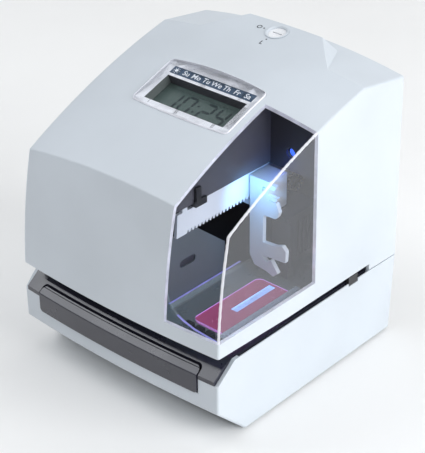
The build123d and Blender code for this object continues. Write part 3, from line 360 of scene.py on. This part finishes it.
def finish_window():
    """The side of the bent pane is a little smoky and carries a painted grey reflection; its cut edges
    carry a painted glow and its fold a painted whitish highlight.
    """
    low, high = vectors(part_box("window_pane"))
    pane_edge_painted_glow = painted_glow_edge("pane_edge_painted_glow", (0.80, 0.80, 0.90), 0.22)
    pane_fold_painted_highlight = clear("pane_fold_painted_highlight", (0.93, 0.93, 0.98), 0.68, 0.08, 2.0, body=(0.94, 0.94, 0.98))
    pane_side_smoke_and_painted_reflection = clear("pane_side_smoke_and_painted_reflection", (0.93, 0.94, 0.96), 0.13, 0.12, 3.0, body=(0.50, 0.51, 0.54))
    finish_faces("window_pane", pane_side_smoke_and_painted_reflection, lambda centre, normal: normal.x > 0.97)
    finish_faces("window_pane", pane_edge_painted_glow,
                 lambda centre, normal: normal.x < -0.9 and centre.x < low.x + SKIN
                 or normal.y > 0.9 and centre.y > high.y - SKIN
                 or normal.z < -0.9 and centre.z < low.z + SKIN)
    finish_faces("window_pane", pane_fold_painted_highlight,
                 lambda centre, normal: 0.25 < normal.x < 0.97 and
                 (normal.y < -0.25 or normal.z > 0.3))


def finish_display():
    """The walls of the display's well are dark, one of them painted lighter as if lit, and the lens's
    rim is painted with a whitish highlight.
    """
    upward = X_AXIS.cross(display_normal)
    well_dark = moulded("well_dark", (0.075, 0.072, 0.088), 0.4, 0.2)
    finish_faces("lcd_bezel", well_dark,
                 lambda centre, normal: abs(normal.dot(display_normal)) < 0.2 and
                 abs(centre.x - well_centre.x) < WELL_HALF_WIDTH and
                 abs((centre - well_centre).dot(upward)) < WELL_HALF_HEIGHT)
    well_painted_lit = moulded("well_painted_lit", (0.17, 0.19, 0.185), 0.4, 0.2)
    finish_faces("lcd_bezel", well_painted_lit,
                 lambda centre, normal: normal.x > 0.9 and
                 well_centre.x - WELL_HALF_WIDTH < centre.x < well_centre.x)
    lens_rim_painted_highlight = clear("lens_rim_painted_highlight", (0.95, 0.96, 0.98), 0.72, 0.15, 1.0, body=(0.92, 0.92, 0.96))
    finish_faces("lcd_lens", lens_rim_painted_highlight,
                 lambda centre, normal: -0.3 < normal.dot(display_normal) < 0.93)


def finish_lug_and_painted_shade():
    """The lug on the deck's right edge is black, and the liner's rear wall is painted darker with the
    shade it lies in.
    """
    finish_faces("deck_plate", MATERIALS["black_plastic"],
                 lambda centre, normal: centre.x > LUG_INNER_X and LUG_Y[0] < centre.y < LUG_Y[1])
    liner_back_painted_shade = moulded("liner_back_painted_shade", (0.022, 0.021, 0.032), 0.42, 0.5)
    finish_faces("chamber_liner", liner_back_painted_shade, lambda centre, normal: normal.y < -0.9)


def finish_card_path():
    """Flat faces of the clear guide above the mask, its cut edges around the mask and the edges of the
    mask's slot, painted with a glow that stands in for the lamp's light they carry.
    """
    violet_painted_glow = painted_glow_edge("violet_painted_glow", (0.40, 0.38, 0.90), 0.30)
    pink_painted_glow = painted_glow_edge("pink_painted_glow", (0.62, 0.34, 0.95), 0.75)
    blue_painted_glow = painted_glow_edge("blue_painted_glow", (0.30, 0.52, 1.0), 1.0)
    around = Vector((1, 1, 0)) * MM
    slot_low = mask_low + Vector((5, 10, 0)) * MM
    slot_high = mask_high - Vector((2, 1, 0)) * MM
    finish_faces("card_guide", violet_painted_glow,
                 lambda centre, normal: abs(normal.z) > 0.9 and centre.z > mask_high.z + 3 * MM)
    finish_faces("card_guide", pink_painted_glow,
                 lambda centre, normal: abs(normal.z) < 0.5 and centre.z < mask_high.z + 1 * MM and
                 within(centre, mask_low - around, mask_high + around))
    finish_faces("print_mask", blue_painted_glow,
                 lambda centre, normal: abs(normal.z) < 0.5 and within(centre, slot_low, slot_high))


finish_window()
finish_display()
finish_lug_and_painted_shade()
finish_card_path()


# ---------------------------------------------------------------- printed details
PRINT_THICKNESS, PRINT_LIFT = 0.03 * MM, 0.04 * MM


def add_piece(name, data, material, body):
    """Put new geometry in the scene as a piece that moves with a body."""
    data.materials.append(material)
    piece = bpy.data.objects.new(name, data)
    bpy.context.scene.collection.objects.link(piece)
    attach(piece, body)
    return piece


def on_plane(piece, centre, normal, right=0.0, up=0.0, lift=PRINT_LIFT):
    """Lay a flat piece on a plane, moved along the plane by right and up."""
    y_axis = normal.cross(X_AXIS).normalized()
    place = centre + X_AXIS * right + y_axis * up + normal * lift
    turn = Matrix((X_AXIS, y_axis, normal)).transposed()
    piece.matrix_world = Matrix.Translation(place) @ turn.to_4x4()


def printed(name, text, size, material, body):
    """A short printed word, slightly bold."""
    data = bpy.data.curves.new(name, "FONT")
    data.body = text
    data.size = size
    data.align_x, data.align_y = "CENTER", "CENTER"
    data.offset = size * 0.012
    data.extrude = 0.02 * MM
    data.resolution_u = 3
    return add_piece(name, data, material, body)


def flat_shapes(name, outlines, thickness, material, body):
    """Thin printed shapes from closed outlines in a plane."""
    mesh = bpy.data.meshes.new(name)
    shape = bmesh.new()
    for outline in outlines:
        lower = [shape.verts.new((x, y, 0)) for x, y in outline]
        upper = [shape.verts.new((x, y, thickness)) for x, y in outline]
        shape.faces.new(upper)
        shape.faces.new(list(reversed(lower)))
        for k in range(len(outline)):
            n = (k + 1) % len(outline)
            shape.faces.new((lower[k], lower[n], upper[n], upper[k]))
    shape.to_mesh(mesh)
    shape.free()
    return add_piece(name, mesh, material, body)


def disc(x, y, radius, count=20):
    turns = (2 * math.pi * k / count for k in range(count))
    return [(x + radius * math.cos(turn), y + radius * math.sin(turn)) for turn in turns]


def bar_shape(x, y, length, width, angle):
    """A bar with pointed ends, like one segment of a digit."""
    half, thin = length / 2, width / 2
    points = [(-half, 0), (-half + thin, thin), (half - thin, thin), (half, 0), (half - thin, -thin),
              (-half + thin, -thin)]
    c, s = math.cos(angle), math.sin(angle)
    return [(x + a * c - b * s, y + a * s + b * c) for a, b in points]


SEGMENTS = {"0": "abcdef", "1": "bc", "2": "abged", "4": "fgbc"}
DIGIT_SLANT = 0.09
SEGMENT_FILL = 0.92


def digit(symbol, x, y, height):
    """The segments of one slanting display digit."""
    wide, half, width = height * 0.5, height / 4, height * 0.12
    upright = math.pi / 2 - DIGIT_SLANT
    slant = half * DIGIT_SLANT
    places = {"a": (2 * slant, 2 * half, 0), "g": (0, 0, 0), "d": (-2 * slant, -2 * half, 0),
              "b": (wide / 2 + slant, half, upright), "c": (wide / 2 - slant, -half, upright),
              "f": (-wide / 2 + slant, half, upright), "e": (-wide / 2 - slant, -half, upright)}
    shapes = []
    for key in SEGMENTS[symbol]:
        dx, dy, angle = places[key]
        length = (wide if angle == 0 else 2 * half) * SEGMENT_FILL
        shapes.append(bar_shape(x + dx, y + dy, length, width, angle))
    return shapes


white_print = moulded("white_print", (0.82, 0.85, 0.90), 0.4, 0.05)
# Black print, also used as painted shade in the cassette's handle slot.
black_print_and_painted_shade = moulded("black_print_and_painted_shade", (0.035, 0.04, 0.05), 0.45, 0.05)
lcd_print = moulded("lcd_print", (0.028, 0.045, 0.048), 0.3, 0.02)

DAY_SIZE, DAY_PITCH, FIRST_DAY_X = 5.1 * MM, 7.75 * MM, -20.0 * MM
SUN_X, SUN_RADIUS = -27.7 * MM, 1.15 * MM
RAY_CIRCLE, RAY_LENGTH, RAY_WIDTH, RAY_COUNT = 2.0 * MM, 0.9 * MM, 0.35 * MM, 8
DIGIT_HEIGHT, COLON_RISE, COLON_RADIUS = 13.5 * MM, 2.6 * MM, 0.75 * MM
SCALE_START, SCALE_PITCH, SCALE_COUNT = -26.0 * MM, 2.6 * MM, 20
TICK_LENGTH, TICK_WIDTH = 1.9 * MM, 0.45 * MM
MARK_SIZE, DOT_RADIUS, DOT_THICKNESS, MARK_LIFT = 4.6 * MM, 0.5 * MM, 0.08 * MM, 0.06 * MM


def print_weekdays():
    """Seven weekday labels on the blue strip, with a small sun before them."""
    centre, normal = face_plane("weekday_strip")
    for number, day in enumerate(("Su", "Mo", "Tu", "We", "Th", "Fr", "Sa")):
        label = printed(f"label_{day}", day, DAY_SIZE, white_print, "cover")
        on_plane(label, centre, normal, FIRST_DAY_X + DAY_PITCH * number)
    shapes = [disc(0, 0, SUN_RADIUS)]
    for k in range(RAY_COUNT):
        turn = 2 * math.pi * k / RAY_COUNT
        shapes.append(bar_shape(RAY_CIRCLE * math.cos(turn), RAY_CIRCLE * math.sin(turn),
                                RAY_LENGTH, RAY_WIDTH, turn))
    sun = flat_shapes("label_day_symbol", shapes, PRINT_THICKNESS, white_print, "cover")
    on_plane(sun, centre, normal, SUN_X)


def print_clock():
    """The time on the glass, over a row of ticks."""
    figures = []
    for symbol, x in (("1", -20.5), ("0", -10.0), ("2", 4.5), ("4", 15.5)):
        figures += digit(symbol, x * MM, 0.0, DIGIT_HEIGHT)
    figures += [disc(-2.6 * MM, COLON_RISE, COLON_RADIUS), disc(-3.0 * MM, -COLON_RISE, COLON_RADIUS)]
    clock = flat_shapes("clock_digits", figures, PRINT_THICKNESS, lcd_print, "base")
    on_plane(clock, well_centre, display_normal, 2.0 * MM, -0.6 * MM)
    ticks = [bar_shape(SCALE_START + SCALE_PITCH * k, 0, TICK_LENGTH, TICK_WIDTH, 0)
             for k in range(SCALE_COUNT)]
    scale = flat_shapes("clock_scale", ticks, PRINT_THICKNESS, lcd_print, "base")
    on_plane(scale, well_centre, display_normal, 0.5 * MM, 8.0 * MM)


def print_lock_marks():
    """A letter and a dot on the cover at each of the lock's two positions."""
    data = nodes["upper_cover"].data
    surface = BVHTree.FromPolygons([vertex.co for vertex in data.vertices],
                                   [tuple(polygon.vertices) for polygon in data.polygons])
    centre, normal = face_plane("lock_cylinder")

    def on_cover(piece, right, up):
        start = centre + X_AXIS * right + normal.cross(X_AXIS).normalized() * up + normal * 10 * MM
        place, lean, _, _ = surface.ray_cast(start, -normal)
        on_plane(piece, place, lean, lift=MARK_LIFT)

    for position, text, right, up in (("open", "O", -13.2, -0.2), ("locked", "L", -1.2, -13.0)):
        label = printed(f"lock_mark_{position}", text, MARK_SIZE, black_print_and_painted_shade, "cover")
        on_cover(label, right * MM, up * MM)
    for position, right, up in (("open", -9.6, -0.3), ("locked", -0.6, -9.0)):
        dot = flat_shapes(f"lock_dot_{position}", [disc(0, 0, DOT_RADIUS)], DOT_THICKNESS,
                          black_print_and_painted_shade, "cover")
        on_cover(dot, right * MM, up * MM)


print_weekdays()
print_clock()
print_lock_marks()


# ---------------------------------------------------------------- details seen through the window
# The mask's long slot, measured from the mask's front left corner.
SLOT_X, SLOT_Y = (9.8 * MM, 14.2 * MM), (21.6 * MM, 54.9 * MM)
FILM_THICKNESS, FILM_RISE = 0.1 * MM, 0.2 * MM


def paint_cassette_slot_shade():
    """The floor of the handle slot's recess in the cassette's right wall, painted black as shade."""
    _, high = vectors(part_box("ribbon_cassette"))
    finish_faces("ribbon_cassette", black_print_and_painted_shade,
                 lambda centre, normal: normal.x > 0.9 and
                 high.x - 1 * MM < centre.x < high.x - 0.3 * MM)


def paint_slot_glow():
    """A thin sheet in the mask's slot, painted with a blue glow that stands in for the lamp's light."""
    left, right = (mask_low.x + x for x in SLOT_X)
    front, rear = (mask_low.y + y for y in SLOT_Y)
    painted_glow_film = painted_glow_edge("painted_glow_film", (0.42, 0.60, 1.0), 0.55)
    film = flat_shapes("slot_glow_sheet", [[(left, front), (right, front), (right, rear), (left, rear)]],
                       FILM_THICKNESS, painted_glow_film, "base")
    film.location = (0, 0, mask_low.z + FILM_RISE)


def coil_spring(name, node, turns=7, wire=0.42 * MM):
    """A wound spring in place of a node."""
    low, high = vectors(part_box(node))
    middle = (low + high) / 2
    radius = (high.x - low.x) / 2 - wire
    gap = 0.05 * MM
    near, far = low.y + wire + gap, high.y - wire
    around, section = 28, 8
    rings = turns * around
    points, faces = [], []
    for ring in range(rings + 1):
        turn = 2 * math.pi * ring / around
        outward = Vector((math.cos(turn), 0, math.sin(turn)))
        place = Vector((middle.x, near + (far - near) * ring / rings, middle.z)) + outward * radius
        for k in range(section):
            roll = 2 * math.pi * k / section
            points.append(place + (outward * math.cos(roll) + Y_AXIS * math.sin(roll)) * wire)
        if ring:
            first, last = (ring - 1) * section, ring * section
            faces += [(first + k, last + k, last + (k + 1) % section, first + (k + 1) % section)
                      for k in range(section)]
    faces += [tuple(range(section)), tuple(reversed(range(rings * section, (rings + 1) * section)))]
    mesh = bpy.data.meshes.new(name)
    mesh.from_pydata(points, [], faces)
    for polygon in mesh.polygons:
        polygon.use_smooth = len(polygon.vertices) == 4
    slot = next(entry["material_slot"] for entry in record["subparts"] if entry["node"] == node)
    piece = add_piece(name, mesh, MATERIALS[slot], "base")
    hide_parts(node)
    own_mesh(piece)


paint_cassette_slot_shade()
paint_slot_glow()
coil_spring("bar_coil_left", "bar_spring_left")
coil_spring("bar_coil_right", "bar_spring_right")


def shade(piece, angle=32):
    """Smooth shading that keeps the edges sharper than angle."""
    data = piece.data
    for polygon in data.polygons:
        polygon.use_smooth = True
    split = piece.modifiers.new("edges", "EDGE_SPLIT")
    split.split_angle = math.radians(angle)
    split.use_edge_sharp = False
    weighted = piece.modifiers.new("normals", "WEIGHTED_NORMAL")
    weighted.mode = "FACE_AREA"
    weighted.keep_sharp = False


for piece in nodes.values():
    shade(piece)


# ---------------------------------------------------------------- floor and light
SPOT_ANGLE = math.radians(95)
LAMP_RADIUS = 2 * MM


def add_floor():
    """A pale sheet that curves up into a back wall."""
    mesh = bpy.data.meshes.new("floor")
    size, back, height, bend, steps = 2.5, 1.6, 2.0, 0.5, 12
    rows = [(-size, 0.0), (back - bend, 0.0)]
    for step in range(1, steps + 1):
        turn = math.pi / 2 * step / steps
        rows.append((back - bend + bend * math.sin(turn), bend - bend * math.cos(turn)))
    rows.append((back, height))
    points, faces = [], []
    for y, z in rows:
        points += [(-size, y, z), (size, y, z)]
    for row in range(len(rows) - 1):
        a = 2 * row
        faces.append((a, a + 1, a + 3, a + 2))
    mesh.from_pydata(points, [], faces)
    floor = bpy.data.objects.new("floor", mesh)
    floor.rotation_euler = (0, 0, math.radians(42))
    bpy.context.scene.collection.objects.link(floor)
    for polygon in mesh.polygons:
        polygon.use_smooth = True
    g = Graph("floor_paper")
    tone = g.tones(g.noise(6, 3), (0.3, (0.86, 0.855, 0.842)), (0.7, (0.89, 0.885, 0.872)))
    normal = g.bump(g.noise(350, 3), 0.12, 0.2 * MM)
    mesh.materials.append(g.finish(g.principled(Base_Color=tone, Roughness=0.65, Normal=normal,
                                                Specular_IOR_Level=0.3)))


def place_lamp(name, data, place, target):
    """Hang a light at a place, turned towards a target."""
    lamp = bpy.data.objects.new(name, data)
    lamp.location = place
    lamp.rotation_euler = (Vector(target) - Vector(place)).to_track_quat("-Z", "Y").to_euler()
    bpy.context.scene.collection.objects.link(lamp)
    return lamp


def add_area(name, place, target, size, power, colour=(1, 1, 1)):
    """A rectangular softbox."""
    data = bpy.data.lights.new(name, "AREA")
    data.shape = "RECTANGLE"
    data.size, data.size_y = size
    data.energy = power
    data.color = colour
    place_lamp(name, data, place, target)


def add_world():
    """A studio that is brighter overhead than at the horizon."""
    world = bpy.data.worlds.new("studio")
    world.use_nodes = True
    tree = world.node_tree
    background = tree.nodes["Background"]
    place = tree.nodes.new("ShaderNodeTexCoord")
    split = tree.nodes.new("ShaderNodeSeparateXYZ")
    height = tree.nodes.new("ShaderNodeMapRange")
    ramp = tree.nodes.new("ShaderNodeValToRGB")
    tree.links.new(place.outputs["Generated"], split.inputs["Vector"])
    tree.links.new(split.outputs["Z"], height.inputs["Value"])
    height.inputs["From Min"].default_value = -0.1
    height.inputs["From Max"].default_value = 0.9
    tree.links.new(height.outputs["Result"], ramp.inputs["Fac"])
    ramp.color_ramp.elements[0].color = (0.20, 0.205, 0.22, 1)
    ramp.color_ramp.elements[1].color = (0.95, 0.97, 1.0, 1)
    tree.links.new(ramp.outputs["Color"], background.inputs["Color"])
    background.inputs["Strength"].default_value = 0.66
    bpy.context.scene.world = world


def add_lamp(name, kind, place, target, power, colour):
    """A small lamp inside the window that is not seen itself."""
    data = bpy.data.lights.new(name, kind)
    data.energy = power
    data.color = colour
    data.shadow_soft_size = LAMP_RADIUS
    if kind == "SPOT":
        data.spot_size = SPOT_ANGLE
        data.spot_blend = 1.0
    lamp = place_lamp(name, data, place, target)
    lamp.visible_camera = False
    lamp.visible_glossy = False


def light_chamber():
    """The blue lamp's glow on the rear wall, and the light on the print head."""
    lamp_low, lamp_high = vectors(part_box("led_lamp"))
    lamp = (lamp_low + lamp_high) / 2
    add_lamp("lamp_glow", "POINT", (lamp.x, lamp_low.y - 7 * MM, lamp.z - 6 * MM), lamp,
             0.0022, (0.08, 0.20, 1.0))
    bracket_low, bracket_high = vectors(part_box("carriage_bracket"))
    head = Vector((bracket_low.x + 8 * MM, bracket_low.y, bracket_high.z - 6 * MM))
    add_lamp("head_light", "SPOT", head + Vector((25, -19, 12)) * MM, head + Vector((3, 0, -6)) * MM,
             0.07, (0.20, 0.55, 1.0))


add_floor()
add_world()
add_area("right_softbox", (1.3, 0.15, 0.6), (0, 0, 0.08), (1.0, 0.9), 17, (0.96, 0.98, 1.0))
add_area("left_key", (-0.86, -0.50, 1.12), (0, 0, 0.08), (0.85, 0.85), 6.8, (0.93, 0.96, 1.0))
add_area("rear_softbox", (0.2, 0.8, 1.3), (0, 0, 0.1), (1.0, 1.0), 3)
light_chamber()

bpy.context.scene.view_settings.view_transform = "Standard"
